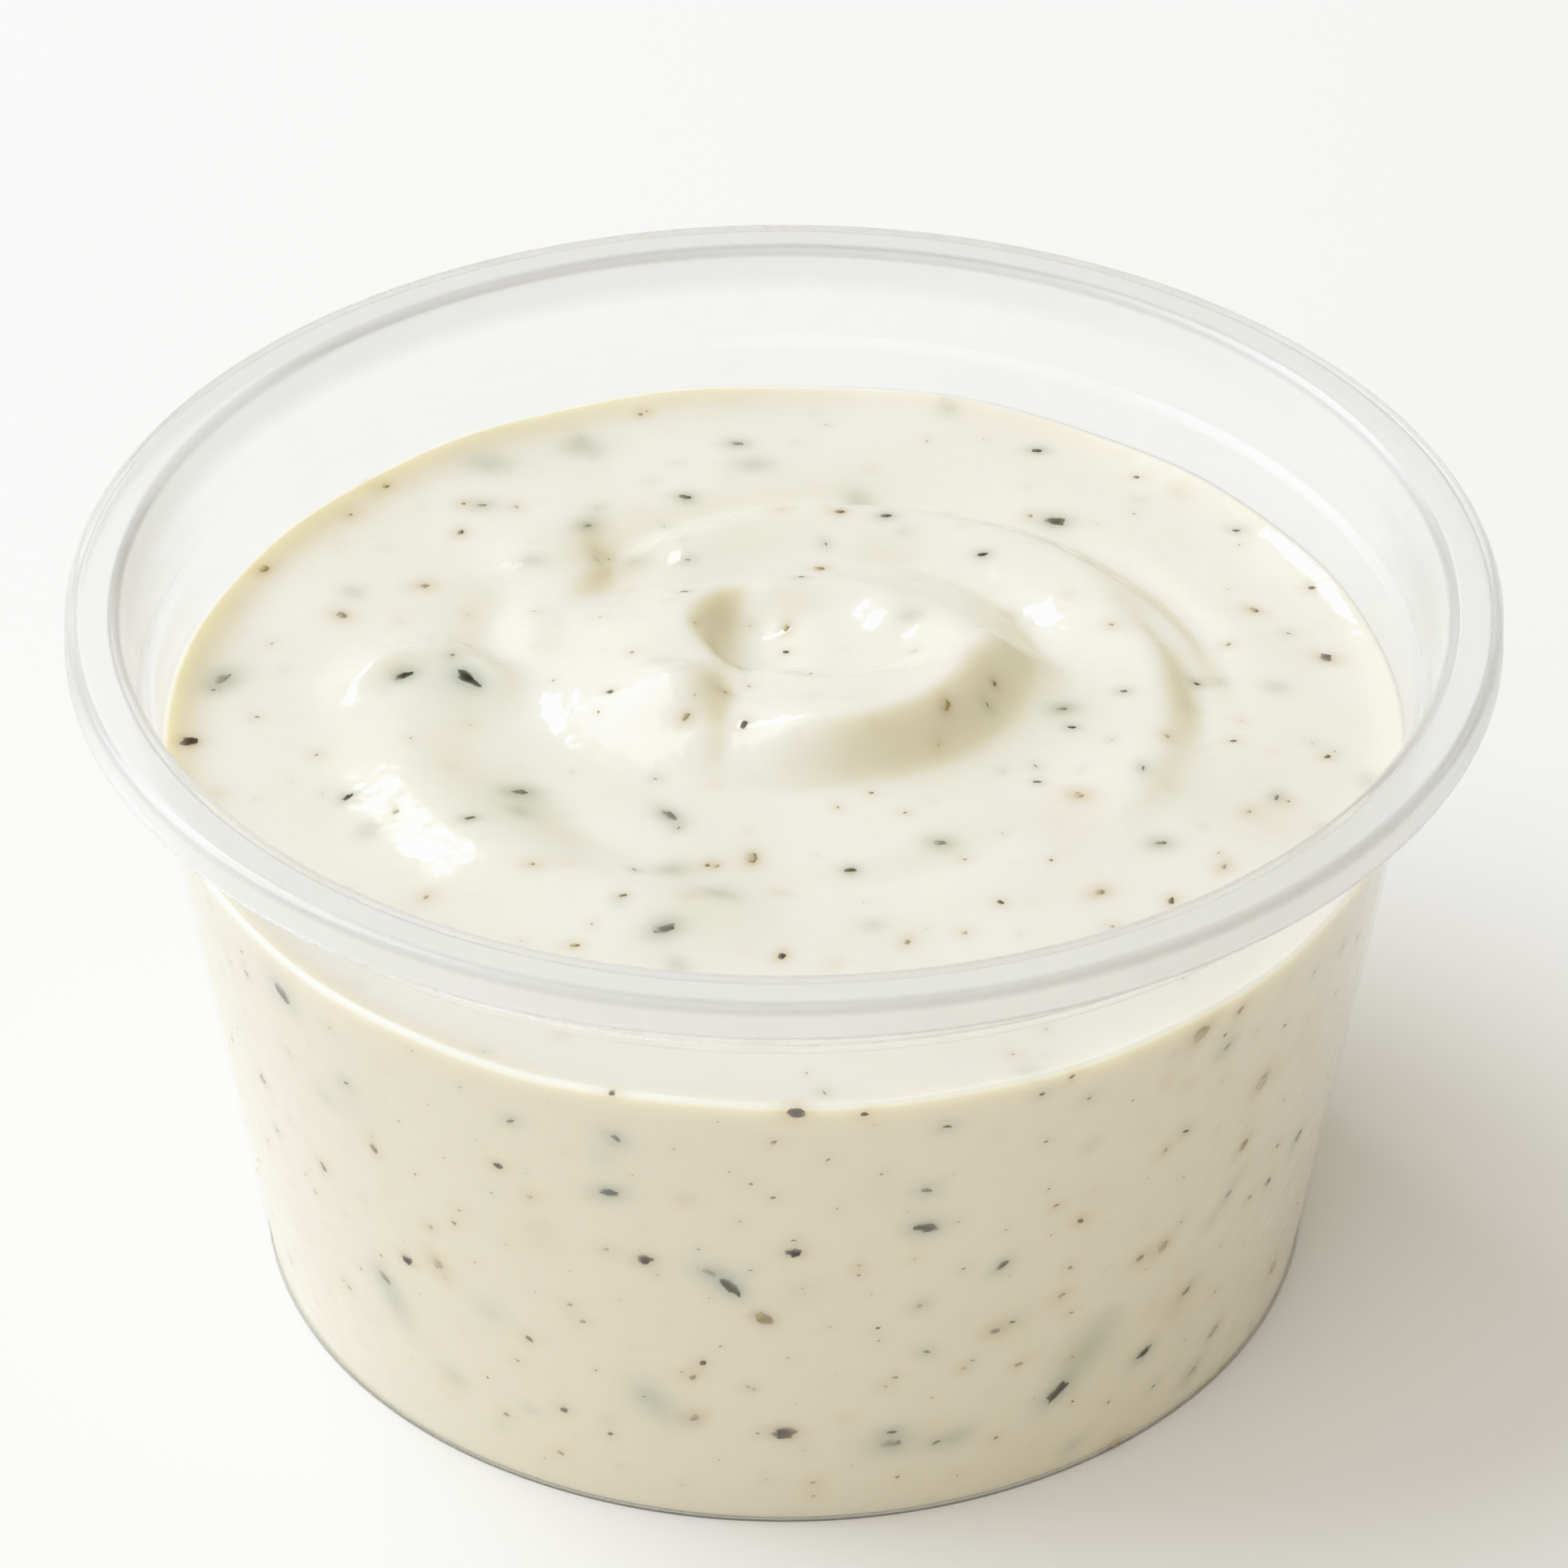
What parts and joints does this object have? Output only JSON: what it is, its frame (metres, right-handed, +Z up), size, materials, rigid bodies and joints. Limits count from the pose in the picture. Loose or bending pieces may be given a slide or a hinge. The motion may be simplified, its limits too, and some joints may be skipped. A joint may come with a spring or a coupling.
{
  "type": "bowl of ranch dip",
  "caption": "Clear plastic portion cup filled with creamy ranch dip, its top spooned into a swirl and flecked with herbs and pepper.",
  "frame": {"origin": "centre of the cup's flat underside, on the cup's axis", "axes": "+Z up along the cup's axis, +X to the right and -Y towards the viewer in the reference view; the dip's level falls slightly towards -Y"},
  "size_m": [0.0742, 0.0742, 0.0395],
  "materials": {
    "clear_plastic": "clear, glossy, thin-walled",
    "ranch_dip": "wet cream with a soft gloss, flecked with green herbs and dark pepper",
    "herb_flakes": "dark green dried herb, dull",
    "pepper_specks": "black and brown cracked pepper, dull",
    "garlic_bits": "tan onion and garlic granules, dull"
  },
  "bodies": {
    "root": {"cup": "clear_plastic", "dip": "ranch_dip"}
  },
  "joints": []
}
